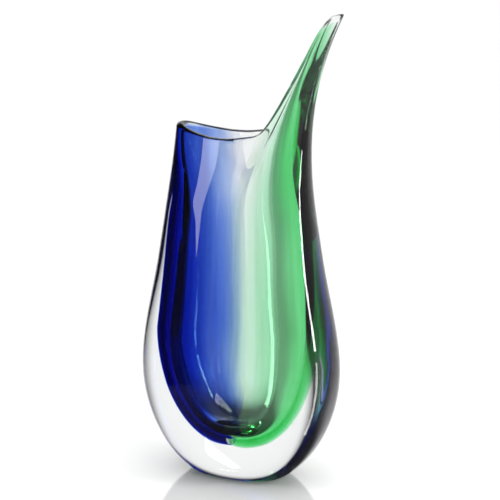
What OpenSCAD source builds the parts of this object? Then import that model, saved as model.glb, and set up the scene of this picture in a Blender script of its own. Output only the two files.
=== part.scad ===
// Hand blown cased glass vase with one corner of the mouth pulled up into a tip.
// The vase stands on its ground base. The origin is the middle of that base,
// +Z is up, +X points to the side with the pulled tip and -Y is the front.
// Each gather of glass is its own solid, fused face to face with the next one.

/* [Body] */
// Width across the widest part of the body
belly_w = 156; // [146:1:164]
// Depth of the body from front to back
belly_d = 96; // [86:1:106]
// Height of the widest part above the table
belly_z = 84; // [76:1:94]
// Width of the body halfway up, above the belly
waist_w = 130; // [122:1:136]
// Height at which the waist width is taken
waist_z = 166; // [154:1:176]
// How square the body is in plan, 2 is an ellipse
squareness = 2.5; // [2.1:0.1:2.9]

/* [Base] */
// Width of the flat ground base
base_w = 68; // [56:1:80]
// Depth of the flat ground base
base_d = 46; // [38:1:52]

/* [Mouth] */
// Height of the level part of the lip
mouth_z = 265; // [256:1:274]
// How far the left end of the mouth is from the centre line
mouth_left = 52; // [48:1:56]
// How much higher the left end of the lip is than its lowest part
lip_rise = 5.5; // [3:0.5:7]
// Depth of the mouth over the lip, front to back
mouth_d = 46; // [38:1:54]
// Thickness of the wall at the lip
lip_t = 7; // [6:0.1:8]

/* [Pulled tip] */
// How far the tip leans out from the centre line
tip_reach = 81; // [76:1:86]
// Where along the mouth the lip starts to climb
climb_start = 23; // [18:1:28]
// Steepness of the climbing lip
climb_slope = 1.8; // [1.7:0.01:1.9]
// Height of the tip above the level part of the lip
tip_rise = 101; // [95:1:105]
// Half the thickness of the solid rod at the tip
tip_r = 5.4; // [4.8:0.1:6.2]
// Where the open fold closes and the rod becomes solid
fold_end = 66; // [63:1:68]

/* [Glass layers] */
// Height of the inside floor above the table
floor_z = 36; // [32:1:40]
// Height of the rounded bowl at the foot of the inside
bowl_h = 74; // [66:1:82]
// Half the width of the inside at its widest, on the left
inside_left = 50; // [44:1:54]
// Half the width of the inside at its widest, on the right
inside_right = 42; // [36:1:46]
// Half the depth of the inside at its widest
inside_deep = 31; // [27:1:34]
// Thickness of the clear inner gather
lining_t = 1.4; // [1.2:0.1:1.8]
// Thickness of the coloured gather at the side of the body
colour_t = 5; // [4:0.1:5.6]
// Thickness of the coloured gather under the floor
colour_floor_t = 6.5; // [5:0.1:7]
// Thickness of the coloured gather just under the lip
colour_lip_t = 3.2; // [2.4:0.1:3.4]
// Extra thickness of the green gather towards the pulled tip
green_tip_t = 8; // [4:0.5:10]
// Distance over which each colour thins out towards the other
fade = 18; // [14:1:24]

/* [Hidden] */
// columns in half a turn, and the two columns where the colours stop
half = 26;
green_col = 12;
cobalt_col = 15;
cols = 2 * half;
// rows: bowl, straight body, upper body, lip
bowl_rows = 11;
body_rows = 4;
top_rows = 9;
lip_rows = 5;
low = bowl_rows + body_rows;
rows = low + top_rows;
// the colours and the lining stop one row under the lip
end_row = rows - 1;
// the upper body starts at this height, where the walls begin to lean to the lip
neck_z = 204;
bowl_top = floor_z + bowl_h;

// how roundly the body swells out of the ground base, less is rounder
swell_power = 0.7;
// slope of the side walls halfway up the body, and where it meets the lip
waist_slope = -0.163;
mouth_slope = -0.096;
// how far below its last point the depth of the body is still narrowing
depth_overrun = 50;

// the wedge of clear glass between the colours opens above this row
wedge_row = 9;
// half the angle between the two colours at the foot of the wedge
wedge_start = 0.6;
// how far each colour draws back from the wedge at the lip, in degrees
cobalt_draw = 25;
green_draw = 5;
// the wedge widens slowly at first
wedge_power = 2.2;

// the climb of the lip: length of its first bend, its curl and its last bend
climb_ease = 4.5;
climb_bend = 0.0045;
climb_cap = 9;
// the tip is as deep as this many tip radii
tip_depth = 1.45;
// the end of the rod hangs this many tip radii under the line of the lip
tip_hang = 1.2;
// the two sides of the fold stand this share of the lip's depth apart
fold_gap = 0.1;
// how square the bowl of the inside is, 2 is an ellipse
bowl_left = 2.1;
bowl_right = 2.7;
bowl_deep = 2.3;
// how far the inside leans in at the neck compared with the outside
neck_wall = 4;
neck_narrowing = 0.9;
// lean of the walls where they reach the lip: on the left, and at the tip
lean_left = 0.1;
lean_tip = 0.5;
lean_in = -0.1;

// round most of the lip the layers run up into its rounded edge by this much
lip_lift = 2.1;
// at the tip they are drawn this share of the way towards one point in the rod
tip_pull = 0.7;
// no layer takes up more than this share of the whole wall
wall_share = 0.8;

function mix(a, b, t) = a + (b - a) * t;
function clamp(t) = min(1, max(0, t));
function ease(a, b, x) = let (t = clamp((x - a) / (b - a))) t * t * (3 - 2 * t);
function soft(x, s) = s * ln(1 + exp(x / s));
function power(v, p) = sign(v) * pow(abs(v), p);
function curve(p0, t0, p1, t1, u) =
    p0 * (2 * u * u * u - 3 * u * u + 1) + t0 * (u * u * u - 2 * u * u + u)
    + p1 * (3 * u * u - 2 * u * u * u) + t1 * (u * u * u - u * u);

// --- the outside, below the neck ---
function swell(u) = pow(1 - (1 - u) * (1 - u), swell_power);
function half_width(z) =
    z < belly_z ? mix(base_w / 2, belly_w / 2, swell(max(0, z) / belly_z))
    : z < waist_z ? curve(belly_w / 2, 0, waist_w / 2, waist_slope * (waist_z - belly_z),
        (z - belly_z) / (waist_z - belly_z))
    : curve(waist_w / 2, waist_slope * (mouth_z - waist_z), mouth_left,
        mouth_slope * (mouth_z - waist_z), (z - waist_z) / (mouth_z - waist_z));
function half_depth(z) =
    z < belly_z ? mix(base_d / 2, belly_d / 2, swell(max(0, z) / belly_z))
    : mix(belly_d / 2, mouth_d / 2, ease(belly_z - 10, mouth_z + depth_overrun, z) * 1.02);
function plan_point(a, w, d, n) = [w * power(cos(a), 2 / n), d * power(sin(a), 2 / n)];

// --- the columns: a column keeps to one side of the clear wedge all the way up ---
function wedge_part(k) = clamp((k - wedge_row) / (rows - wedge_row));
function cobalt_angle(k) = 90 + wedge_start + cobalt_draw * pow(wedge_part(k), wedge_power);
function green_angle(k) = 90 - wedge_start - green_draw * pow(wedge_part(k), wedge_power);
function side_angle(k, c) =
    c <= green_col ? green_angle(k) * c / green_col
    : c <= cobalt_col ? mix(green_angle(k), cobalt_angle(k), (c - green_col) / (cobalt_col - green_col))
    : mix(cobalt_angle(k), 180, (c - cobalt_col) / (half - cobalt_col));
function angle(k, c) = c <= half ? -side_angle(k, c) : side_angle(k, cols - c);
function turn(k, c) = side_angle(k, c <= half ? c : cols - c);
function side_of(c) = c <= half ? -1 : 1;

// --- the line of the lip ---
function climb(x) = let (s = soft(x - climb_start, climb_ease))
    tip_rise - soft(tip_rise - climb_slope * s - climb_bend * s * s, climb_cap);
function lip_z(x) = mouth_z + climb(x) + lip_rise * pow(max(0, 5 - x) / (mouth_left + 5), 2);
lip_mid = (tip_reach - mouth_left) / 2;
lip_half = (tip_reach + mouth_left) / 2;
function lip_out_x(a) = lip_mid + lip_half * cos(a);
function lip_out_y(a) =
    mix(tip_depth * tip_r, mouth_d / 2, ease(25, 105, a))
    * pow(sin(a), mix(0.42, 0.85, ease(10, 80, a)));
function lip_in_x(a) = let (x = lip_out_x(a)) fold_end - soft(fold_end - x, 3)
    + lip_t * max(0, -cos(a));
function lip_in_y(a) = lip_out_y(a) * mix(fold_gap, 1 - 2 * lip_t / mouth_d, ease(15, 95, a));
function lip_point(x, y) = [x, y, lip_z(x) - lip_t / 2];
function tip_drop(x) = tip_hang * tip_r * ease(fold_end - 3, tip_reach, x);
function lip_out(a, s) = lip_point(lip_out_x(a), s * lip_out_y(a)) - [0, 0, tip_drop(lip_out_x(a))];
function lip_in(a, s) = lip_point(lip_in_x(a), s * lip_in_y(a));
function lean(x) = mix(lean_left, lean_tip, ease(5, 70, x));

// --- the two skins of the glass ---
function low_z(k) =
    k < 2 ? 0
    : k <= bowl_rows ? bowl_top * pow((k - 2) / (bowl_rows - 2), 1.7)
    : mix(bowl_top, neck_z, (k - bowl_rows) / body_rows);
function outer_low(k, c) = let (z = low_z(k),
    p = plan_point(angle(k, c), half_width(z), half_depth(z), squareness),
    s = k >= 2 ? 1 : k == 1 ? 0.6 : 0) [p.x * s, p.y * s, z];

function bowl_share(z, n) = pow(max(0, 1 - pow((bowl_top - z) / bowl_h, n)), 1 / n);
function inside_w(z, right) = let (w = right ? inside_right : inside_left)
    z > bowl_top ? w * (half_width(z) - neck_wall) / (half_width(bowl_top) - neck_wall)
        + neck_wall * ease(bowl_top, neck_z, z)
    : w * bowl_share(z, right ? bowl_right : bowl_left);
function inside_d(z) =
    z > bowl_top ? inside_deep * mix(1, neck_narrowing, ease(bowl_top, neck_z, z))
    : inside_deep * bowl_share(z, bowl_deep);
function inner_plan(k, c, z) = let (a = angle(k, c), right = cos(a) > 0)
    plan_point(a, inside_w(z, right), inside_d(z), squareness);
function inner_z(k) = k <= bowl_rows ? floor_z + bowl_h * (1 - cos(90 * k / bowl_rows)) : low_z(k);
function inner_low(k, c) = let (z = inner_z(k), p = inner_plan(k, c, z)) [p.x, p.y, z];

function top_part(k) = k == rows ? 1 : 0.98 * (k - low) / (top_rows - 1);
function column(p, q, e, lean_y, u) = let (h = e.z - p.z, slope = (p - q) / (p.z - q.z))
    curve(p, slope * h, e, [lean(e.x), lean_y, 1] * h, u);
function outer_high(k, c) = let (z = neck_z, a = turn(k, c), b = angle(k, c), s = side_of(c),
    p = plan_point(b, half_width(z), half_depth(z), squareness),
    q = plan_point(b, half_width(z - 2), half_depth(z - 2), squareness))
    column([p.x, p.y, z], [q.x, q.y, z - 2], lip_out(a, s), lean_in * s * sin(a), top_part(k));
function inner_high(k, c) = let (z = neck_z, a = turn(k, c), s = side_of(c),
    p = inner_plan(k, c, z), q = inner_plan(k, c, z - 2))
    column([p.x, p.y, z], [q.x, q.y, z - 2], lip_in(a, s), lean_in * s * sin(a), top_part(k));

outer = [for (k = [0:rows]) [for (c = [0:cols - 1]) k <= low ? outer_low(k, c) : outer_high(k, c)]];
inner = [for (k = [0:rows]) [for (c = [0:cols - 1]) k <= low ? inner_low(k, c) : inner_high(k, c)]];

// --- thickness of each layer, measured from the inside outwards ---
function colour_full(k) =
    k <= bowl_rows ? mix(colour_floor_t, colour_t, ease(0, bowl_rows, k))
    : mix(colour_t, colour_lip_t, ease(bowl_rows, rows, k));
function seam_share(k) = 0.8 * (1 - ease(2, wedge_row, k));
function fade_length(k) = fade * mix(0.4, 1, ease(1, wedge_row, k));
function from_seam(k, c) = let (m = c <= half ? c : cols - c)
    m < green_col ? inner[k][m].x - inner[k][green_col].x
    : m > cobalt_col ? inner[k][cobalt_col].x - inner[k][m].x : 0;
// the green gather is drawn up thick into the pulled tip
function tip_extra(k, c) = green_tip_t * (1 - ease(10, 45, turn(k, c))) * ease(low - 2, low + 5, k);
function colour_depth(k, c) = (colour_full(k) + tip_extra(k, c))
    * mix(seam_share(k), 1, ease(0, fade_length(k), from_seam(k, c)));
function inward(k, c, depth) = let (v = outer[k][c] - inner[k][c])
    inner[k][c] + v * min(wall_share, depth / norm(v));
// a point in the solid rod that the layers run on towards
tip_core = [tip_reach - 3.5, 0, lip_z(tip_reach) - 1.9 * tip_r];
function tip_share(k, c) = k == end_row ? tip_pull * (1 - ease(10, 36, turn(k, c))) : 0;
function clear_depth(k, c) = lining_t * mix(1, 0.9, k / rows);
function lifted(k) = [0, 0, k == end_row ? lip_lift : 0];
function skin_2(k, c) =
    mix(inward(k, c, clear_depth(k, c) + colour_depth(k, c)) + lifted(k), tip_core, tip_share(k, c));
function skin_1(k, c) = let (a = clear_depth(k, c), b = colour_depth(k, c))
    mix(inner[k][c], skin_2(k, c), a / (a + b));
lining_skin = [for (k = [0:end_row]) [for (c = [0:cols - 1]) skin_1(k, c)]];
colour_skin = [for (k = [0:end_row]) [for (c = [0:cols - 1]) skin_2(k, c)]];

// --- solids between two skins that share one grid ---
function wrap(c) = (c + cols) % cols;
function mirrored(c) = let (m = wrap(c)) m <= half ? m : cols - m;
function is_green(k, c) = let (m = max(mirrored(c), mirrored(c + 1)))
    m <= green_col || (k < wedge_row && m <= cobalt_col);
function is_cobalt(k, c) = min(mirrored(c), mirrored(c + 1)) >= cobalt_col;
function in_part(part, k, c) = k >= 0 && k < end_row
    && (part == 0 || (part == 1 && is_cobalt(k, c)) || (part == 2 && is_green(k, c)));

function spot(k, c) = k == 0 ? 0 : 1 + (k - 1) * cols + wrap(c);
per_skin = 1 + end_row * cols;
function same(a, b) = norm(a - b) < 0.0001;
function flat_points(skin) = [for (k = [0:end_row]) each k == 0 ? [skin[0][0]] : skin[k]];
function valid(f) = f[0] != f[1] && f[1] != f[2] && f[2] != f[0];
function quad(a, b, c, d) = [for (f = [[a, b, c], [a, c, d]]) if (valid(f)) f];

module between(low_skin, high_skin, part) {
    low_points = flat_points(low_skin);
    high_points = flat_points(high_skin);
    // where the two skins touch, both use the lower point
    high_id = [for (i = [0:per_skin - 1]) same(low_points[i], high_points[i]) ? i : i + per_skin];
    faces = [for (k = [0:end_row - 1], c = [0:cols - 1]) if (in_part(part, k, c))
        let (a = spot(k, c), b = spot(k, c + 1), d = spot(k + 1, c + 1), e = spot(k + 1, c))
        each concat(
            quad(a, e, d, b),
            quad(high_id[a], high_id[b], high_id[d], high_id[e]),
            in_part(part, k - 1, c) || k == 0 ? [] : quad(a, b, high_id[b], high_id[a]),
            in_part(part, k + 1, c) ? [] : quad(d, e, high_id[e], high_id[d]),
            in_part(part, k, c - 1) ? [] : quad(e, a, high_id[a], high_id[e]),
            in_part(part, k, c + 1) ? [] : quad(b, d, high_id[d], high_id[b]))];
    polyhedron(points = concat(low_points, high_points), faces = faces, convexity = 8);
}

// --- the rounded lip ---
function lip_curve(c, j) = let (o = outer[rows][c], i = inner[rows][c], d = norm(o - i),
    up_o = (o - outer[end_row][c]) / norm(o - outer[end_row][c]),
    up_i = (i - inner[end_row][c]) / norm(i - inner[end_row][c]))
    curve(o, up_o * min(2 * d, 5 * tip_r), i, -up_i * min(2 * d, 4 * tip_r), j / lip_rows);

module clear_casing() {
    lip = [for (j = [1:lip_rows - 1]) [for (c = [0:cols - 1]) lip_curve(c, j)]];
    inside = [for (k = [rows:-1:end_row]) inner[k]];
    pocket = [for (k = [end_row:-1:1]) colour_skin[k]];
    loops = concat([for (k = [1:rows]) outer[k]], lip, inside, pocket);
    n = len(loops);
    last = n * cols + 1;
    points = concat([outer[0][0]], [for (l = loops) each l], [colour_skin[0][0]]);
    faces = concat(
        [for (c = [0:cols - 1]) [0, 1 + wrap(c + 1), 1 + c]],
        [for (r = [0:n - 2], c = [0:cols - 1]) let (a = 1 + r * cols, b = a + cols)
            each quad(a + wrap(c + 1), b + wrap(c + 1), b + c, a + c)],
        [for (c = [0:cols - 1]) [last, last - cols + c, last - cols + wrap(c + 1)]]);
    color([0.86, 0.9, 0.9, 0.35]) polyhedron(points = points, faces = faces, convexity = 12);
}

module cobalt_layer() {
    color([0.05, 0.12, 0.7]) between(lining_skin, colour_skin, 1);
}

module green_layer() {
    color([0.15, 0.7, 0.35]) between(lining_skin, colour_skin, 2);
}

module core_lining() {
    color([0.9, 0.95, 0.95, 0.4]) between([for (k = [0:end_row]) inner[k]], lining_skin, 0);
}

clear_casing();
cobalt_layer();
green_layer();
core_lining();
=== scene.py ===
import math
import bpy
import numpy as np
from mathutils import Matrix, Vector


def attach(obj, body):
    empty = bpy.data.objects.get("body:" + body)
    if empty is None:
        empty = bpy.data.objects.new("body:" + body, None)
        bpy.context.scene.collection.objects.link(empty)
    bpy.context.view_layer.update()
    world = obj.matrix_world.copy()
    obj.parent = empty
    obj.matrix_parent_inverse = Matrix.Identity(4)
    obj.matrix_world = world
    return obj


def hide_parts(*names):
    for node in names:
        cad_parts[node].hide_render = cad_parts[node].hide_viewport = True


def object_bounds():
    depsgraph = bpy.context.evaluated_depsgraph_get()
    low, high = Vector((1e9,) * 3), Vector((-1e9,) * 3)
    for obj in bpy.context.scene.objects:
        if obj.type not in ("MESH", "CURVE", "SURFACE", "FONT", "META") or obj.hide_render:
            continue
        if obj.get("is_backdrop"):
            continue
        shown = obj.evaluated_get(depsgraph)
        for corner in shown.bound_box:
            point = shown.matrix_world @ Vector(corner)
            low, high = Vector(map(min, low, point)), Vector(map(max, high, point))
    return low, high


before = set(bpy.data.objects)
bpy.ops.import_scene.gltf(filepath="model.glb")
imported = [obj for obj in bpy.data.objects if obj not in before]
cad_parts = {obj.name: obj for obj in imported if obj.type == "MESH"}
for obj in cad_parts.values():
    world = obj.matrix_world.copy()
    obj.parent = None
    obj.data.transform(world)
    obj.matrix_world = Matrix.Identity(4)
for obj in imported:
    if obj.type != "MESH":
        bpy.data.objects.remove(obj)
cad_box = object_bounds()

# %% [markdown]
# This lesson builds a hand blown cased glass vase. Such a vase is made on the
# blowpipe from several gathers of hot glass, one over the other: a thin clear
# lining, a blue and a green layer side by side, and a thick clear casing that
# also makes the lip, the pulled tip and the foot. Each gather is one piece
# here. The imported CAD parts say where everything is, in metres; the sizes
# below are in millimetres, the unit that a maker would use.

MM = 0.001
belly_w, belly_d, belly_z = 156, 96, 84
waist_w, waist_z, squareness = 130, 166, 2.5
base_w, base_d = 68, 46
mouth_z, mouth_left, lip_rise, mouth_d, lip_t = 265, 52, 5.5, 46, 7
tip_reach, tip_rise, tip_r, fold_end = 81, 101, 5.4, 66
climb_start, climb_slope = 23, 1.8
floor_z, bowl_h = 36, 74
inside_left, inside_right, inside_deep = 50, 42, 31
neck_z = 204
bowl_top = floor_z + bowl_h
print("height of the vase", round((cad_box[1][2] - cad_box[0][2]) / MM), "mm")

# %% Thickness of the gathers, in millimetres
lining_t = 1.4
colour_t, colour_floor_t, colour_lip_t = 5, 6.5, 3.2
green_tip_t = 8
blue_fade, green_fade = 32, 20
print("clear lining", lining_t, "mm, colour", colour_lip_t, "to", colour_floor_t, "mm")

# %% [markdown]
# Blown glass has no straight lines, so the whole shape is worked out as a grid
# of points. The grid has columns that go round the vase, starting at the pulled
# tip, and rows that go up from the middle of the base to the lip. A few small
# blending functions are all that the shape needs. They work on whole arrays of
# numbers at once, which is much quicker in Python than one point at a time.

# %% Blending functions
def mix(a, b, t):
    return a + (b - a) * t

def ease(a, b, x):
    t = np.clip((x - a) / (b - a), 0, 1)
    return t * t * (3 - 2 * t)

def soft(x, s):
    """Zero below zero and x above it, with a round bend of size s between."""
    return s * np.logaddexp(0, x / s)

def power(v, p):
    return np.sign(v) * np.abs(v) ** p

def curve(p0, t0, p1, t1, u):
    """From p0 leaving along t0 to p1 arriving along t1."""
    return (p0 * (2 * u**3 - 3 * u**2 + 1) + t0 * (u**3 - 2 * u**2 + u)
            + p1 * (3 * u**2 - 2 * u**3) + t1 * (u**3 - u**2))

def stack(x, y, z):
    return np.stack(np.broadcast_arrays(x, y, z), -1)

def sind(a):
    return np.sin(np.radians(a))

def cosd(a):
    return np.cos(np.radians(a))

print("the middle of a curve from 0 to 1:", float(curve(0, 1, 1, 1, 0.5)))

# %% [markdown]
# The grid follows the way the CAD solids are divided, because the pieces here
# have to fill the same space. Between two CAD rows or columns it adds more, so
# that the glass bends light without showing facets.

# %% The grid
half, green_col, cobalt_col = 26, 12, 15
bowl_rows, body_rows, top_rows, wedge_row = 11, 4, 9, 9
low = bowl_rows + body_rows
rows = low + top_rows
end_row = rows - 1
FINER = 4
cols = 2 * half * FINER
top = end_row * FINER
K, C = np.meshgrid(np.linspace(0, rows, rows * FINER + 1), np.arange(cols) / FINER,
                   indexing="ij")
print(K.shape[0], "rows of", cols, "points")

# %% [markdown]
# The colours part at the lip, where a wedge of clear glass opens between them.
# The columns lean away from the middle of the face towards the top, so that one
# column always runs along the edge of a colour.

# %% Where each column stands round the vase
wedge_start, cobalt_draw, green_draw, wedge_power = 0.6, 25, 5, 2.2

def wedge_part(k):
    return np.clip((k - wedge_row) / (rows - wedge_row), 0, 1) ** wedge_power

def turn(k, c):
    """Degrees from the pulled tip, the same on both sides."""
    m = np.minimum(c, 2 * half - c)
    g = 90 - wedge_start - green_draw * wedge_part(k)
    b = 90 + wedge_start + cobalt_draw * wedge_part(k)
    return np.where(m <= green_col, g * m / green_col,
        np.where(m <= cobalt_col, mix(g, b, (m - green_col) / (cobalt_col - green_col)),
            mix(b, 180, (m - cobalt_col) / (half - cobalt_col))))

def side_of(c):
    return np.where(c <= half, -1.0, 1.0)

def angle(k, c):
    return side_of(c) * turn(k, c)

print("the clear wedge is", cobalt_draw + green_draw + 2 * wedge_start, "degrees wide at the lip")

# %% [markdown]
# The body is a flattened drop. Its plan is a superellipse, a shape between an
# ellipse and a rectangle, which is what glass takes when it is pressed between
# two paddles while it is soft. Its width and depth change with height.

# %% The body below the neck
swell_power = 0.7
waist_slope, mouth_slope = -0.163, -0.096
depth_start, depth_overrun, depth_share = belly_z - 10, 50, 1.02

def swell(z):
    u = np.clip(z / belly_z, 0, 1)
    return np.maximum(0, 1 - (1 - u) ** 2) ** swell_power

def half_width(z):
    lower = mix(base_w / 2, belly_w / 2, swell(z))
    a, b = waist_z - belly_z, mouth_z - waist_z
    middle = curve(belly_w / 2, 0, waist_w / 2, waist_slope * a, (z - belly_z) / a)
    upper = curve(waist_w / 2, waist_slope * b, mouth_left, mouth_slope * b, (z - waist_z) / b)
    return np.where(z < belly_z, lower, np.where(z < waist_z, middle, upper))

def half_depth(z):
    lower = mix(base_d / 2, belly_d / 2, swell(z))
    narrowing = depth_share * ease(depth_start, mouth_z + depth_overrun, z)
    return np.where(z < belly_z, lower, mix(belly_d / 2, mouth_d / 2, narrowing))

def plan_point(a, w, d):
    return w * power(cosd(a), 2 / squareness), d * power(sind(a), 2 / squareness)

print("half the width at the neck:", round(float(half_width(neck_z)), 1), "mm")

# %% [markdown]
# The lip is nearly level on the left. On the right the maker caught it with
# pincers and pulled it out and up, which closed the fold into a solid rod. The
# line of the lip is one climbing curve, and the gap between its two sides shrinks
# to nothing where the rod begins. What changes from the rod to the body does so
# between two angles round the vase, counted in degrees from the tip.

# %% The line of the lip
climb_ease, climb_bend, climb_cap = 4.5, 0.0045, 9
tip_depth, tip_hang, fold_gap = 1.45, 1.2, 0.1
fold_bend, rise_start = 3, 5
depth_from, depth_to = 25, 105
blunt_from, blunt_to = 10, 80
fold_from, fold_to = 15, 95
rod_bluntness, body_bluntness = 0.42, 0.85
lip_mid, lip_half = (tip_reach - mouth_left) / 2, (tip_reach + mouth_left) / 2

def lip_z(x):
    s = soft(x - climb_start, climb_ease)
    climb = tip_rise - soft(tip_rise - climb_slope * s - climb_bend * s * s, climb_cap)
    rise = lip_rise * (np.maximum(0, rise_start - x) / (mouth_left + rise_start)) ** 2
    return mouth_z + climb + rise

def lip_out_x(a):
    return lip_mid + lip_half * cosd(a)

def lip_out_y(a):
    half_gap = mix(tip_depth * tip_r, mouth_d / 2, ease(depth_from, depth_to, a))
    bluntness = mix(rod_bluntness, body_bluntness, ease(blunt_from, blunt_to, a))
    return half_gap * np.maximum(0, sind(a)) ** bluntness

def lip_outside(a, s):
    x = lip_out_x(a)
    hang = tip_hang * tip_r * ease(fold_end - fold_bend, tip_reach, x)
    return stack(x, s * lip_out_y(a), lip_z(x) - lip_t / 2 - hang)

def lip_inside(a, s):
    x = fold_end - soft(fold_end - lip_out_x(a), fold_bend) + lip_t * np.maximum(0, -cosd(a))
    y = lip_out_y(a) * mix(fold_gap, 1 - 2 * lip_t / mouth_d, ease(fold_from, fold_to, a))
    return stack(x, s * y, lip_z(x) - lip_t / 2)

print("the tip is", round(float(lip_z(tip_reach)) - mouth_z), "mm above the lip")

# %% [markdown]
# Two skins bound all the glass: the outside of the vase, and the wall of the
# hollow in it. Below the neck both follow the plan of the body. Above it every
# column is one curve that leaves the body in the direction the wall already
# has, and arrives at the lip with the lean of a blown wall.

# %% The two skins
neck_wall, neck_narrowing = 4, 0.9
bowl_left, bowl_right, bowl_deep = 2.1, 2.7, 2.3
lean_left, lean_tip, lean_in = 0.1, 0.5, -0.1
lean_from, lean_to = 5, 70
last_step, slope_step = 0.98, 2
foot_rows, first_ring, row_power = 2, 0.6, 1.7

def low_z(k):
    base = bowl_top * (np.maximum(0, k - foot_rows) / (bowl_rows - foot_rows)) ** row_power
    return np.where(k <= bowl_rows, base, mix(bowl_top, neck_z, (k - bowl_rows) / body_rows))

def outer_plan(k, c, z):
    return plan_point(angle(k, c), half_width(z), half_depth(z))

def inner_plan(k, c, z):
    a = angle(k, c)
    w = np.where(cosd(a) > 0, inside_right, inside_left)
    down = np.clip((bowl_top - z) / bowl_h, 0, 1)
    square = np.where(cosd(a) > 0, bowl_right, bowl_left)
    low_w = w * np.maximum(0, 1 - down ** square) ** (1 / square)
    low_d = inside_deep * np.maximum(0, 1 - down ** bowl_deep) ** (1 / bowl_deep)
    at_bowl = half_width(bowl_top) - neck_wall
    up = ease(bowl_top, neck_z, z)
    wide = w * (half_width(z) - neck_wall) / at_bowl + neck_wall * up
    deep = inside_deep * mix(1, neck_narrowing, up)
    above = z > bowl_top
    return plan_point(a, np.where(above, wide, low_w), np.where(above, deep, low_d))

def above_neck(k, c, plan, end):
    z = np.full_like(k, float(neck_z))
    below = z - slope_step
    p, q = stack(*plan(k, c, z), z), stack(*plan(k, c, below), below)
    h = (end[..., 2] - p[..., 2])[..., None]
    leave = (p - q) / (p[..., 2] - q[..., 2])[..., None]
    arrive = stack(mix(lean_left, lean_tip, ease(lean_from, lean_to, end[..., 0])),
                   lean_in * side_of(c) * sind(turn(k, c)), 1.0)
    u = np.where(k <= end_row, last_step * (k - low) / (top_rows - 1),
                 last_step + (1 - last_step) * (k - end_row))
    return curve(p, leave * h, end, arrive * h, u[..., None])

def outer(k, c):
    z = low_z(np.minimum(k, low))
    x, y = outer_plan(k, c, z)
    foot = np.where(k >= foot_rows, 1, np.where(k > 1, mix(first_ring, 1, k - 1), first_ring * k))
    high = above_neck(k, c, outer_plan, lip_outside(turn(k, c), side_of(c)))
    return np.where((k <= low)[..., None], stack(x * foot, y * foot, z), high)

def inner(k, c):
    z = np.where(k <= bowl_rows, floor_z + bowl_h * (1 - cosd(90 * k / bowl_rows)),
                 low_z(np.minimum(k, low)))
    high = above_neck(k, c, inner_plan, lip_inside(turn(k, c), side_of(c)))
    return np.where((k <= low)[..., None], stack(*inner_plan(k, c, z), z), high)

outside, inside = outer(K, C), inner(K, C)
print("the glass under the hollow is", floor_z, "mm thick")

# %% [markdown]
# A layer of glass inside the wall is set by its thickness, measured from the
# hollow outwards. Each colour is full at the side of the vase and thins out
# towards the other colour, and the green is thicker in the rod of the tip. Under
# the hollow, from seam_low to seam_high, a seam keeps a share of the colour, so
# that the ring of colour is closed. A gather never comes off the pipe perfectly even:
# it carries fine cords, which are drawn out lengthwise as the piece is swung.
# They are a fixed set of waves round the vase, so every run gives the same ones.

# %% The layers in the wall
tip_pull, wall_share, lip_lift = 0.7, 0.8, 2.1
seam_share, short_fade, lip_lining = 0.8, 0.4, 0.9
seam_low, seam_high = 1, 6
rod_from, rod_to = 10, 45
rod_low, rod_high = low - 2, low + 5
core_back, core_drop, core_from, core_to = 3.5, 1.9, 10, 36
CORD_DEPTH, CORD_CONTRAST, CORD_DRIFT = 0.16, 2.2, 0.5
CORD_WAVES, FEWEST_ROUND, MOST_ROUND = 14, 7, 60
cord_rng = np.random.default_rng(41)
cord_waves = [(n, cord_rng.uniform(0, 2 * np.pi), cord_rng.uniform(-CORD_DRIFT, CORD_DRIFT),
               1 / n**0.5)
              for n in cord_rng.integers(FEWEST_ROUND, MOST_ROUND, CORD_WAVES)]

def cords(k, c):
    """How much of its thickness a colour keeps, from 1 - CORD_DEPTH to 1."""
    around = 2 * np.pi * c / (2 * half)
    wave = sum(a * np.sin(n * around + p + d * k) for n, p, d, a in cord_waves)
    size = sum(a for n, p, d, a in cord_waves)
    return 1 - CORD_DEPTH * (0.5 + 0.5 * np.clip(CORD_CONTRAST * wave / size, -1, 1))

def colour_full(k):
    return np.where(k <= bowl_rows, mix(colour_floor_t, colour_t, ease(0, bowl_rows, k)),
                    mix(colour_t, colour_lip_t, ease(bowl_rows, rows, k)))

def from_seam(k, c):
    m = np.minimum(c, 2 * half - c)
    x = inner(k, m)[..., 0]
    g = inner(k, np.full_like(m, green_col))[..., 0]
    b = inner(k, np.full_like(m, cobalt_col))[..., 0]
    return np.where(m < green_col, x - g, np.where(m > cobalt_col, b - x, 0))

def colour_depth(k, c):
    share = seam_share * (1 - ease(seam_low, seam_high, k))
    fade = np.where(np.minimum(c, 2 * half - c) < green_col, green_fade, blue_fade)
    length = fade * mix(short_fade, 1, ease(seam_low, wedge_row, k))
    in_rod = (1 - ease(rod_from, rod_to, turn(k, c))) * ease(rod_low, rod_high, k)
    extra = green_tip_t * in_rod
    return (colour_full(k) + extra) * mix(share, 1, ease(0, length, from_seam(k, c)))

print("cords take up to", round(100 * CORD_DEPTH), "percent off a colour")

# %% [markdown]
# The colours sit against the lining and the casing with no air between. Two
# faces in exactly the same place would confuse the renderer, so each colour is
# drawn a few hundredths of a millimetre thinner than its place. It is also never
# thinner than a tenth of a millimetre, so that it has a front and a back.

# %% The skins of the lining and the colours
GAP, THINNEST = 0.03, 0.12

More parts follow.
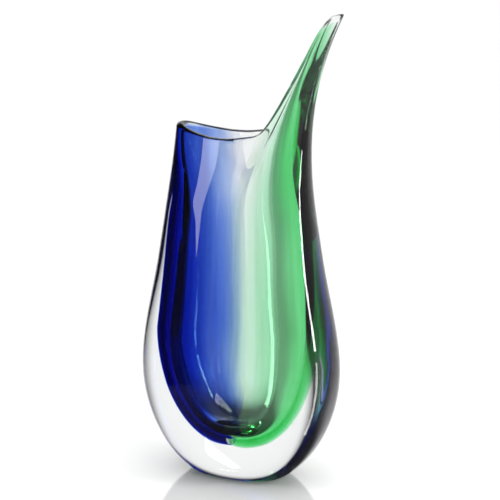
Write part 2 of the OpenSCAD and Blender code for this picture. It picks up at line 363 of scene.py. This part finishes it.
def layer_skins(k, c):
    """Points on the hollow, round the lining, on both faces of the colour, round the colour."""
    a, b = lining_t * mix(1, lip_lining, k / rows), colour_depth(k, c)
    i, o = inner(k, c), outer(k, c)
    v = o - i
    s = i + v * np.minimum(wall_share, (a + b) / np.linalg.norm(v, axis=-1))[..., None]
    s = s + stack(0, 0, lip_lift * ease(end_row - 1, end_row, k))
    tip_core = np.array([tip_reach - core_back, 0, lip_z(tip_reach) - core_drop * tip_r])
    pull = tip_pull * (1 - ease(core_from, core_to, turn(k, c))) * ease(end_row - 1, end_row, k)
    s = mix(s, tip_core, pull[..., None])
    d = s - i
    n = np.linalg.norm(d, axis=-1)[..., None]
    lining_face = (a / (a + b))[..., None]
    thick = ((1 - lining_face) * n - 2 * GAP) * cords(k, c)[..., None]
    colour_in = lining_face + GAP / n
    colour_out = np.minimum(colour_in + np.maximum(thick, THINNEST) / n, 1 - GAP / n)
    colour_in = np.minimum(colour_in, colour_out - THINNEST / n)
    return i, i + d * lining_face, i + d * colour_in, i + d * colour_out, s

hollow, lining_out, colour_in, colour_out, pocket = layer_skins(K[:top + 1], C[:top + 1])
thinnest = np.linalg.norm(colour_out - colour_in, axis=-1).min()
print("thinnest colour", round(float(thinnest), 3), "mm")

# %% [markdown]
# In Blender a grid of points becomes a mesh with from_pydata. The first row of
# the grid is a single point, the pole in the middle of the base, and a closed
# shape ends in a second pole. All faces point away from the glass. At the end the
# size is trimmed by a hair, because a finer grid reaches a little further out
# than the flat faces of the CAD solid do.

# %% Rings into a closed mesh
def ring_faces(r):
    j = np.arange(cols)
    n = (j + 1) % cols
    a, b = 1 + r * cols, 1 + (r + 1) * cols
    return np.stack([b + j, b + n, a + n, a + j], 1).tolist()

def loft(loops, low_pole, high_pole):
    """Rings of points, closed by a single point at either end."""
    points = np.concatenate([[low_pole], *loops, [high_pole]])
    j = np.arange(cols)
    n = (j + 1) % cols
    last = len(points) - 1
    faces = [[1 + a, 1 + b, 0] for a, b in zip(j.tolist(), n.tolist())]
    for r in range(len(loops) - 1):
        faces += ring_faces(r)
    faces += [[last - cols + b, last - cols + a, last] for a, b in zip(j.tolist(), n.tolist())]
    return points, faces

def trim(points, lowest, highest):
    """The share of its size that keeps the points inside the CAD box, for X, Y and Z."""
    room = np.array(highest) / points.max(0)
    back = np.array(lowest[:2]) / points.min(0)[:2]
    return np.minimum(1, [min(room[0], back[0]), min(room[1], back[1]), room[2]])

def report(ob):
    """Prints how many triangles a piece has, and how many of its edges are open."""
    mesh = ob.data
    mesh.calc_loop_triangles()
    use = np.bincount([l.edge_index for l in mesh.loops], minlength=len(mesh.edges))
    print(ob.name, len(mesh.loop_triangles), "triangles,", int((use != 2).sum()), "open edges")

# %% [markdown]
# The lip closes the wall with a round edge, which the maker gets by holding the
# cut rim in the fire until it flows. Each column carries on over the edge as one
# curve, from the outside to the hollow. In the tip the curve is longer and makes
# the rounded end of the rod.

# %% The rounded lip
LIP_STEPS = 16
out_pull, in_pull = 5 * tip_r, 4 * tip_r

def direction(skin):
    step = skin(K[-1:], C[-1:])[0] - skin(K[-1:] - 0.02, C[-1:])[0]
    return step / np.linalg.norm(step, axis=-1)[:, None]

edge_out, edge_in = outside[-1], inside[-1]
edge_t = np.linalg.norm(edge_out - edge_in, axis=-1)[:, None]
up_out = direction(outer) * np.minimum(2 * edge_t, out_pull)
down_in = -direction(inner) * np.minimum(2 * edge_t, in_pull)
lip = [curve(edge_out, up_out, edge_in, down_in, j / LIP_STEPS) for j in range(1, LIP_STEPS)]
print("the lip is", round(float(edge_t.min()), 1), "to", round(float(edge_t.max()), 1), "mm thick")

# %% [markdown]
# Three kinds of glass are needed, and they share one effect: the cords. A shader
# node group holds it, so that each glass can have its own tints. It stretches a
# noise along the height of the vase, and gives a tint for the colour and a height
# for the bump. The group reads Object coordinates, so the cords stay in the glass
# when the vase is moved.

# %% The cords as a shader group
def cord_group():
    group = bpy.data.node_groups.new("glass_cords", "ShaderNodeTree")
    for name, kind, start in (("Scale", "NodeSocketFloat", 60.0),
                              ("Stretch", "NodeSocketFloat", 0.06),
                              ("Amount", "NodeSocketFloat", 0.1),
                              ("Clear Tint", "NodeSocketColor", (1, 1, 1, 1)),
                              ("Cord Tint", "NodeSocketColor", (0.8, 0.8, 0.8, 1))):
        socket = group.interface.new_socket(name, in_out="INPUT", socket_type=kind)
        socket.default_value = start
    group.interface.new_socket("Tint", in_out="OUTPUT", socket_type="NodeSocketColor")
    group.interface.new_socket("Height", in_out="OUTPUT", socket_type="NodeSocketFloat")
    add, link = group.nodes.new, group.links.new
    given, result = add("NodeGroupInput"), add("NodeGroupOutput")
    place, along = add("ShaderNodeTexCoord"), add("ShaderNodeCombineXYZ")
    squeeze, noise = add("ShaderNodeVectorMath"), add("ShaderNodeTexNoise")
    strands, strength = add("ShaderNodeMapRange"), add("ShaderNodeMath")
    blend = add("ShaderNodeMix")
    along.inputs["X"].default_value = along.inputs["Y"].default_value = 1
    link(given.outputs["Stretch"], along.inputs["Z"])
    squeeze.operation = "MULTIPLY"
    link(place.outputs["Object"], squeeze.inputs[0])
    link(along.outputs["Vector"], squeeze.inputs[1])
    link(squeeze.outputs["Vector"], noise.inputs["Vector"])
    link(given.outputs["Scale"], noise.inputs["Scale"])
    noise.inputs["Detail"].default_value = 3
    strands.inputs["From Min"].default_value = 0.45
    strands.inputs["From Max"].default_value = 0.75
    link(noise.outputs["Fac"], strands.inputs["Value"])
    strength.operation = "MULTIPLY"
    link(strands.outputs["Result"], strength.inputs[0])
    link(given.outputs["Amount"], strength.inputs[1])
    blend.data_type = "RGBA"
    link(strength.outputs["Value"], blend.inputs["Factor"])
    link(given.outputs["Clear Tint"], blend.inputs["A"])
    link(given.outputs["Cord Tint"], blend.inputs["B"])
    link(blend.outputs["Result"], result.inputs["Tint"])
    link(noise.outputs["Fac"], result.inputs["Height"])
    return group

glass_cords = cord_group()

def add_cords(nodes, scale, clear_tint, cord_tint):
    """Places the group in a material, with the cords at full strength."""
    cord = nodes.new("ShaderNodeGroup")
    cord.node_tree = glass_cords
    for name, value in (("Scale", scale), ("Amount", 1), ("Clear Tint", (*clear_tint, 1)),
                        ("Cord Tint", (*cord_tint, 1))):
        cord.inputs[name].default_value = value
    return cord

print("group", glass_cords.name, "with", len(glass_cords.nodes), "nodes")

# %% [markdown]
# The clear glass is a Principled shader with full transmission and no roughness.
# Its surface is not quite true: the cords lift it by about a hundredth of a
# millimetre, which a Bump node turns into the slight waver of hand made glass. The
# base is ground flat and polished, so it is a little less smooth than the rest.

# %% Clear glass
CLEAR_TINT, CLEAR_CORD = (0.988, 0.996, 0.996), (0.965, 0.985, 0.985)

def new_material(name):
    material = bpy.data.materials.new(name)
    material.use_nodes = True
    nodes, links = material.node_tree.nodes, material.node_tree.links
    return material, nodes, links, nodes["Principled BSDF"]

clear_glass, nodes, links, shader = new_material("clear_glass")
shader.inputs["Transmission Weight"].default_value = 1
shader.inputs["IOR"].default_value = 1.5
cord = add_cords(nodes, 45, CLEAR_TINT, CLEAR_CORD)
links.new(cord.outputs["Tint"], shader.inputs["Base Color"])
bump = nodes.new("ShaderNodeBump")
bump.inputs["Strength"].default_value = 0.25
bump.inputs["Distance"].default_value = 0.0001
links.new(cord.outputs["Height"], bump.inputs["Height"])
links.new(bump.outputs["Normal"], shader.inputs["Normal"])
height = nodes.new("ShaderNodeSeparateXYZ")
links.new(nodes.new("ShaderNodeTexCoord").outputs["Object"], height.inputs["Vector"])
ground = nodes.new("ShaderNodeMapRange")
ground.inputs["From Min"].default_value = 0.0001
ground.inputs["From Max"].default_value = 0.0006
ground.inputs["To Min"].default_value = 0.04
ground.inputs["To Max"].default_value = 0
links.new(height.outputs["Z"], ground.inputs["Value"])
links.new(ground.outputs["Result"], shader.inputs["Roughness"])
print("clear glass, tint", CLEAR_TINT)

# %% [markdown]
# Where two gathers are fused, the clear glass runs on with nothing to see. A
# surface there would bend and reflect light that in a real vase goes straight
# through. So the pocket in the casing and the outside of the lining get a second
# material with no alpha, which leaves only faces between glass and air visible.

# %% Fused faces
fused_faces, nodes, links, shader = new_material("fused_faces")
shader.inputs["Alpha"].default_value = 0
print("fused faces have alpha", shader.inputs["Alpha"].default_value)

# %% [markdown]
# The coloured glass gets its colour from its depth, as real glass does: a thick
# part is dark and a thin part is pale. Volume Absorption does this. The colours
# lie inside clear glass of the same kind, so their surface must not bend light,
# and their index of refraction against the casing is 1. The node absorbs Density
# times what its Color lacks of white, so Density is set a little above the
# strongest absorption, which keeps every part of the Color above nothing.

# %% Coloured glass
DENSITY_ROOM = 1.05

def coloured_glass(name, absorbed, cord_tint):
    """absorbed is how strongly red, green and blue are absorbed: 1 leaves 37% after 1 mm."""
    material, nodes, links, shader = new_material(name)
    shader.inputs["Transmission Weight"].default_value = 1
    shader.inputs["Roughness"].default_value = 0
    shader.inputs["IOR"].default_value = 1
    shader.inputs["Specular IOR Level"].default_value = 0
    cord = add_cords(nodes, 70, (1, 1, 1), cord_tint)
    links.new(cord.outputs["Tint"], shader.inputs["Base Color"])
    depth = nodes.new("ShaderNodeVolumeAbsorption")
    density = max(absorbed) * DENSITY_ROOM
    depth.inputs["Density"].default_value = density / MM
    depth.inputs["Color"].default_value = (*[1 - a / density for a in absorbed], 1)
    links.new(depth.outputs["Volume"], nodes["Material Output"].inputs["Volume"])
    print(name, "absorbs", absorbed, "per millimetre")
    return material

cobalt_glass = coloured_glass("cobalt_glass", (0.72, 0.50, 0.105), (0.70, 0.70, 0.80))
green_glass = coloured_glass("green_glass", (0.115, 0.020, 0.080), (0.80, 0.90, 0.80))

# %% [markdown]
# The casing is the largest piece. Its rings go up the outside, over the lip, down
# the last of the hollow, and back down the pocket that holds the other gathers.
# The faces of the pocket are fused faces. The edges where the two materials meet
# are marked sharp, so that the shading of one doesn't run into the other.

# %% The casing
def hard_rings(mesh, rings):
    """Marks the edges along these rings as sharp."""
    hard = {tuple(sorted((1 + r * cols + j, 1 + r * cols + (j + 1) % cols)))
            for r in rings for j in range(cols)}
    sharp = mesh.attributes.new("sharp_edge", "BOOLEAN", "EDGE")
    sharp.data.foreach_set("value", [tuple(sorted(e.vertices)) in hard for e in mesh.edges])

air_side = [*outside[1:], *lip, *inside[:top - 1:-1]]
pocket_side = [*pocket[:0:-1]]
points, faces = loft(air_side + pocket_side, outside[0][0], pocket[0][0])
fit = trim(points * MM, cad_box[0], cad_box[1])
mesh = bpy.data.meshes.new("vase_casing")
mesh.from_pydata((points * MM * fit).tolist(), [], faces)
mesh.materials.append(clear_glass)
mesh.materials.append(fused_faces)
air_faces = cols * len(air_side)
mesh.polygons.foreach_set("material_index", [int(f >= air_faces) for f in range(len(faces))])
mesh.polygons.foreach_set("use_smooth", [True] * len(faces))
hard_rings(mesh, (len(air_side) - 1, len(air_side)))
mesh.update()
casing = bpy.data.objects.new("vase_casing", mesh)
bpy.context.scene.collection.objects.link(casing)
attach(casing, "root")
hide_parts("clear_casing")
report(casing)
print("trimmed to", [round(float(f), 4) for f in fit], "of its size")

# %% [markdown]
# The other gathers are all made by the same rule: a layer that lies over a
# surface, with its own thickness at every point. That is work for Geometry Nodes.
# The input is a sheet of faces with a vector attribute, across, that goes from
# the near face of the layer to the far one. The tree extrudes the sheet, moves
# the new faces along the vector, closes the layer with the old faces turned
# over, and gives each side its material.

# %% The tree that lays a gather over a surface
def gather_tree():
    tree = bpy.data.node_groups.new("lay_gather", "GeometryNodeTree")
    tree.is_modifier = True
    tree.interface.new_socket("Geometry", in_out="INPUT", socket_type="NodeSocketGeometry")
    for name, kind, start in (("Thickness", "NodeSocketFloat", 1.0),
                              ("Hard Angle", "NodeSocketFloat", 0.9),
                              ("Near Side", "NodeSocketMaterial", None),
                              ("Far Side", "NodeSocketMaterial", None)):
        socket = tree.interface.new_socket(name, in_out="INPUT", socket_type=kind)
        if start is not None:
            socket.default_value = start
    tree.interface.new_socket("Geometry", in_out="OUTPUT", socket_type="NodeSocketGeometry")
    add, link = tree.nodes.new, tree.links.new
    given, result = add("NodeGroupInput"), add("NodeGroupOutput")

    across = add("GeometryNodeInputNamedAttribute")
    across.data_type = "FLOAT_VECTOR"
    across.inputs["Name"].default_value = "across"
    thick = add("ShaderNodeVectorMath")
    thick.operation = "SCALE"
    link(across.outputs["Attribute"], thick.inputs[0])
    link(given.outputs["Thickness"], thick.inputs["Scale"])

    extrude = add("GeometryNodeExtrudeMesh")
    extrude.inputs["Offset Scale"].default_value = 0
    extrude.inputs["Individual"].default_value = False
    link(given.outputs["Geometry"], extrude.inputs["Mesh"])
    move = add("GeometryNodeSetPosition")
    link(extrude.outputs["Mesh"], move.inputs["Geometry"])
    link(extrude.outputs["Top"], move.inputs["Selection"])
    link(thick.outputs["Vector"], move.inputs["Offset"])

    turned = add("GeometryNodeFlipFaces")
    link(given.outputs["Geometry"], turned.inputs["Mesh"])
    near = add("GeometryNodeStoreNamedAttribute")
    near.data_type, near.domain = "BOOLEAN", "FACE"
    near.inputs["Name"].default_value = "near_side"
    near.inputs["Value"].default_value = True
    link(turned.outputs["Mesh"], near.inputs["Geometry"])

    both, weld = add("GeometryNodeJoinGeometry"), add("GeometryNodeMergeByDistance")
    link(move.outputs["Geometry"], both.inputs["Geometry"])
    link(near.outputs["Geometry"], both.inputs["Geometry"])
    weld.inputs["Distance"].default_value = 1e-7
    link(both.outputs["Geometry"], weld.inputs["Geometry"])

    bend, is_hard = add("GeometryNodeInputMeshEdgeAngle"), add("FunctionNodeCompare")
    link(bend.outputs["Unsigned Angle"], is_hard.inputs["A"])
    link(given.outputs["Hard Angle"], is_hard.inputs["B"])
    smooth, hard = add("GeometryNodeSetShadeSmooth"), add("GeometryNodeSetShadeSmooth")
    link(weld.outputs["Geometry"], smooth.inputs["Geometry"])
    hard.domain = "EDGE"
    hard.inputs["Shade Smooth"].default_value = False
    link(smooth.outputs["Geometry"], hard.inputs["Geometry"])
    link(is_hard.outputs["Result"], hard.inputs["Selection"])

    real, far_glass = add("GeometryNodeRealizeInstances"), add("GeometryNodeSetMaterial")
    link(hard.outputs["Geometry"], real.inputs["Geometry"])
    link(real.outputs["Geometry"], far_glass.inputs["Geometry"])
    link(given.outputs["Far Side"], far_glass.inputs["Material"])
    is_near, near_glass = add("GeometryNodeInputNamedAttribute"), add("GeometryNodeSetMaterial")
    is_near.data_type = "BOOLEAN"
    is_near.inputs["Name"].default_value = "near_side"
    link(far_glass.outputs["Geometry"], near_glass.inputs["Geometry"])
    link(is_near.outputs["Attribute"], near_glass.inputs["Selection"])
    link(given.outputs["Near Side"], near_glass.inputs["Material"])
    link(near_glass.outputs["Geometry"], result.inputs["Geometry"])
    return tree

lay_gather = gather_tree()
print("tree", lay_gather.name, "with", len(lay_gather.nodes), "nodes")

# %% [markdown]
# A sheet is the part of the grid that a gather covers. The sheet carries the
# attribute, gets the modifier, and is then turned into a plain mesh, which is
# what the other programs that read the model can use.

# %% From a sheet to a finished gather
def sheet_mesh(name, near, far, covered):
    """near and far are grids of points, and covered says which cells of the grid count."""
    flat_near = np.concatenate([near[0, :1], near[1:].reshape(-1, 3)]) * MM * fit
    flat_far = np.concatenate([far[0, :1], far[1:].reshape(-1, 3)]) * MM * fit

    def point(r, c):
        return 0 if r == 0 else 1 + (r - 1) * cols + c % cols

    faces = []
    for r, c in np.argwhere(covered).tolist():
        corners = [point(r + 1, c), point(r + 1, c + 1), point(r, c + 1), point(r, c)]
        faces.append(corners[:3] if r == 0 else corners)
    used = sorted({p for f in faces for p in f})
    number = {p: n for n, p in enumerate(used)}
    mesh = bpy.data.meshes.new(name)
    mesh.from_pydata(flat_near[used].tolist(), [], [[number[p] for p in f] for f in faces])
    across = mesh.attributes.new("across", "FLOAT_VECTOR", "POINT")
    across.data.foreach_set("vector", (flat_far - flat_near)[used].ravel())
    return mesh

def make_gather(name, near, far, covered, near_side, far_side):
    sheet = bpy.data.objects.new(name + "_sheet", sheet_mesh(name + "_sheet", near, far, covered))
    bpy.context.scene.collection.objects.link(sheet)
    layer = sheet.modifiers.new("lay_gather", "NODES")
    layer.node_group = lay_gather
    ids = {s.name: s.identifier for s in lay_gather.interface.items_tree if s.in_out == "INPUT"}
    layer[ids["Thickness"]] = 1.0
    layer[ids["Near Side"]] = near_side
    layer[ids["Far Side"]] = far_side
    bpy.context.view_layer.update()
    finished = sheet.evaluated_get(bpy.context.evaluated_depsgraph_get())
    mesh = bpy.data.meshes.new_from_object(finished)
    bpy.data.objects.remove(sheet)
    for extra in ("across", "near_side"):
        mesh.attributes.remove(mesh.attributes[extra])
    mesh.name = name
    piece = bpy.data.objects.new(name, mesh)
    bpy.context.scene.collection.objects.link(piece)
    report(piece)
    return piece

# %% [markdown]
# The lining covers the whole hollow. The blue covers the columns on the left and
# the green those on the right, and below the foot of the clear wedge they meet
# edge to edge.

# %% The lining and the two colours
middle_row, middle_col = np.meshgrid((np.arange(top) + 0.5) / FINER,
                                     (np.arange(cols) + 0.5) / FINER, indexing="ij")
from_tip = np.minimum(middle_col, 2 * half - middle_col)
everywhere = np.ones_like(from_tip, dtype=bool)
blue_cells = from_tip > cobalt_col
green_cells = (from_tip < green_col) | ((middle_row < wedge_row) & (from_tip < cobalt_col))

for name, node, slot, near, far, cells, near_side, far_side in (
        ("vase_lining", "core_lining", "clear_glass", hollow, lining_out, everywhere,
         clear_glass, fused_faces),
        ("vase_cobalt", "cobalt_layer", "cobalt_glass", colour_in, colour_out, blue_cells,
         cobalt_glass, cobalt_glass),
        ("vase_green", "green_layer", "green_glass", colour_in, colour_out, green_cells,
         green_glass, green_glass)):
    gather = make_gather(name, near, far, cells, near_side, far_side)
    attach(gather, "root")
    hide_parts(node)

# %% [markdown]
# The camera looks at the broad face from a little to the right and above. A long
# lens far away keeps the vase's sides nearly parallel.

# %% The camera
AROUND, ABOVE, AWAY = math.radians(25), math.radians(14), 1.6
VIEW_WIDTH = 0.3765
AIM_Z, AIM_ASIDE, AIM_LOWER = 0.178, 0.0072, 0.0030
back = Vector((math.sin(AROUND) * math.cos(ABOVE), -math.cos(AROUND) * math.cos(ABOVE),
               math.sin(ABOVE)))
right = Vector((math.cos(AROUND), math.sin(AROUND), 0))
towards = Vector((back.x, back.y, 0))
target = Vector((0, 0, AIM_Z)) + right * AIM_ASIDE - back.cross(right) * AIM_LOWER
camera = bpy.data.objects.new("camera", bpy.data.cameras.new("camera"))
camera.location = target + back * AWAY
camera.rotation_euler = back.to_track_quat("Z", "Y").to_euler()
camera.data.lens = camera.data.sensor_width * AWAY / VIEW_WIDTH
camera.data.clip_end = 50
bpy.context.scene.collection.objects.link(camera)
bpy.context.scene.camera = camera
print("lens", round(camera.data.lens), "mm")

# %% [markdown]
# Glass shows what is around it, so the room is part of the picture. The vase
# stands on a glossy white table. What the glass sees of the table is a stronger
# mirror than what the camera sees, so the vase stays deep in colour while the
# table stays pale. A black card stands close on the left, hidden from the camera,
# and gives the glass something dark to show along that side.

# %% The table and a dark card
TABLE_SIZE, TABLE_GAP = 8, 0.0003
TABLE_GLOSS, TABLE_GLOSS_IN_GLASS = 0.25, 0.9
CARD_W, CARD_H, CARD_AWAY, CARD_LIFT = 0.6, 0.9, 0.24, 0.001

def flat_plane(name, size, place, turned, material):
    x, y = size[0] / 2, size[1] / 2
    mesh = bpy.data.meshes.new(name)
    mesh.from_pydata([(-x, -y, 0), (x, -y, 0), (x, y, 0), (-x, y, 0)], [], [(0, 1, 2, 3)])
    mesh.materials.append(material)
    ob = bpy.data.objects.new(name, mesh)
    ob.location = place
    ob.rotation_euler = [math.radians(t) for t in turned]
    bpy.context.scene.collection.objects.link(ob)
    ob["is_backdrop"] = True
    return ob

table_white, nodes, links, shader = new_material("table_white")
shader.inputs["Base Color"].default_value = (0.97, 0.97, 0.97, 1)
shader.inputs["Roughness"].default_value = 0.03
gloss = nodes.new("ShaderNodeMapRange")
gloss.inputs["To Min"].default_value = TABLE_GLOSS_IN_GLASS
gloss.inputs["To Max"].default_value = TABLE_GLOSS
links.new(nodes.new("ShaderNodeLightPath").outputs["Is Camera Ray"], gloss.inputs["Value"])
links.new(gloss.outputs["Result"], shader.inputs["Metallic"])
flat_plane("table", (TABLE_SIZE, TABLE_SIZE), (0, 0, -TABLE_GAP), (0, 0, 0), table_white)
card_black, nodes, links, shader = new_material("card_black")
shader.inputs["Base Color"].default_value = (0.01, 0.01, 0.01, 1)
card_place = Vector((0, 0, CARD_H / 2 + CARD_LIFT)) - right * CARD_AWAY
card = flat_plane("card_left", (CARD_W, CARD_H), card_place,
                  (90, 0, 90 + math.degrees(AROUND)), card_black)
card.visible_camera = card.visible_shadow = card.visible_diffuse = False
print("the table is", TABLE_SIZE, "m wide")

# %% [markdown]
# Two tall narrow lights draw the long highlights down the glass, and a wide soft
# one above lights the table. A sun lamp is used for the wide one, because its
# light is as strong far away as it is near. The left light shows in the surface
# of the glass and not through it, and the sun lights only what isn't glass.

# %% The lights
VASE_MIDDLE = Vector((0, 0, 0.17))

def strip_light(name, size, place, power):
    light = bpy.data.lights.new(name, "AREA")
    light.shape, light.energy = "RECTANGLE", power
    light.size, light.size_y = size
    ob = bpy.data.objects.new(name, light)
    ob.location = place
    ob.rotation_euler = (place - VASE_MIDDLE).to_track_quat("Z", "Y").to_euler()
    bpy.context.scene.collection.objects.link(ob)
    return ob

def beside(r, u, b):
    """A place r to the right, u above the middle of the vase and b towards the camera."""
    return VASE_MIDDLE + right * r + Vector((0, 0, u)) + towards * b

left_strip = strip_light("strip_left", (0.05, 0.32), beside(-0.23, 0.08, 0.11), 0.24)
left_strip.visible_transmission = False
right_strip = strip_light("strip_right", (0.12, 0.9), beside(0.95, 0.3, 0.35), 8)
overhead = bpy.data.objects.new("overhead", bpy.data.lights.new("overhead", "SUN"))
overhead.data.energy, overhead.data.angle = 2.55, math.radians(70)
bpy.context.scene.collection.objects.link(overhead)
overhead.visible_transmission = overhead.visible_glossy = False
print("lights:", left_strip.name, right_strip.name, overhead.name)

# %% [markdown]
# The room is a soft light tent: white behind the vase, dark on the left and above,
# and half dark on the right. The dark parts draw the dark edges that give clear
# glass its outline. The front is white for light that has met few faces, and dim
# for light that has turned many times in the thick glass, which keeps the colours
# deep. The background that the camera sees straight on stays white.

# %% The room
FEW_FACES = 8
room = bpy.data.worlds.new("room")
room.use_nodes = True
bpy.context.scene.world = room
nodes, links = room.node_tree.nodes, room.node_tree.links

def room_shade(socket, start, end, value):
    """1 up to start, falling to value at end."""
    shade = nodes.new("ShaderNodeMapRange")
    shade.interpolation_type = "SMOOTHSTEP"
    for name, number in (("From Min", start), ("From Max", end),
                         ("To Min", 1), ("To Max", value)):
        shade.inputs[name].default_value = number
    links.new(socket, shade.inputs["Value"])
    return shade.outputs["Result"]

def along(direction):
    dot = nodes.new("ShaderNodeVectorMath")
    dot.operation = "DOT_PRODUCT"
    links.new(view_ray, dot.inputs[0])
    dot.inputs[1].default_value = direction
    return dot.outputs["Value"]

def maths(operation, a, b):
    node = nodes.new("ShaderNodeMath")
    node.operation = operation
    links.new(a, node.inputs[0])
    links.new(b, node.inputs[1])
    return node.outputs["Value"]

view_ray = nodes.new("ShaderNodeTexCoord").outputs["Generated"]
path = nodes.new("ShaderNodeLightPath")
right_side = room_shade(along(right), 0.6, 0.9, 0.4)
left_side = room_shade(along(-right), 0.5, 0.8, 0.05)
sides = maths("MULTIPLY", right_side, left_side)
above = room_shade(along((0, 0, 1)), 0.45, 0.7, 0.05)
front = room_shade(along(towards), 0.0, 0.3, 0.12)
few_faces = room_shade(path.outputs["Ray Depth"], FEW_FACES + 0.4, FEW_FACES + 0.6, 0)
front = maths("MAXIMUM", front, few_faces)
tent = maths("MULTIPLY", maths("MULTIPLY", sides, above), front)
seen = nodes.new("ShaderNodeMix")
links.new(path.outputs["Is Camera Ray"], seen.inputs["Factor"])
links.new(tent, seen.inputs["A"])
seen.inputs["B"].default_value = 1
links.new(seen.outputs["Result"], nodes["Background"].inputs["Strength"])
nodes["Background"].inputs["Color"].default_value = (1, 1, 1, 1)
print("the room has", len(nodes), "nodes")

# %% [markdown]
# Light crosses many faces in a cased vase, so the renderer is allowed more
# bounces than usual. The plain Standard view keeps white white.

# %% Bounces and view
scene = bpy.context.scene
scene.view_settings.view_transform = "Standard"
scene.cycles.max_bounces = scene.cycles.transmission_bounces = 32
scene.cycles.transparent_max_bounces = 32
scene.cycles.glossy_bounces = 8
print("up to", scene.cycles.max_bounces, "bounces")

# %% The size of the finished model
boxes = [[list(corner) for corner in box] for box in (cad_box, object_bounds())]
print("CAD box", boxes[0], "visual box", boxes[1])
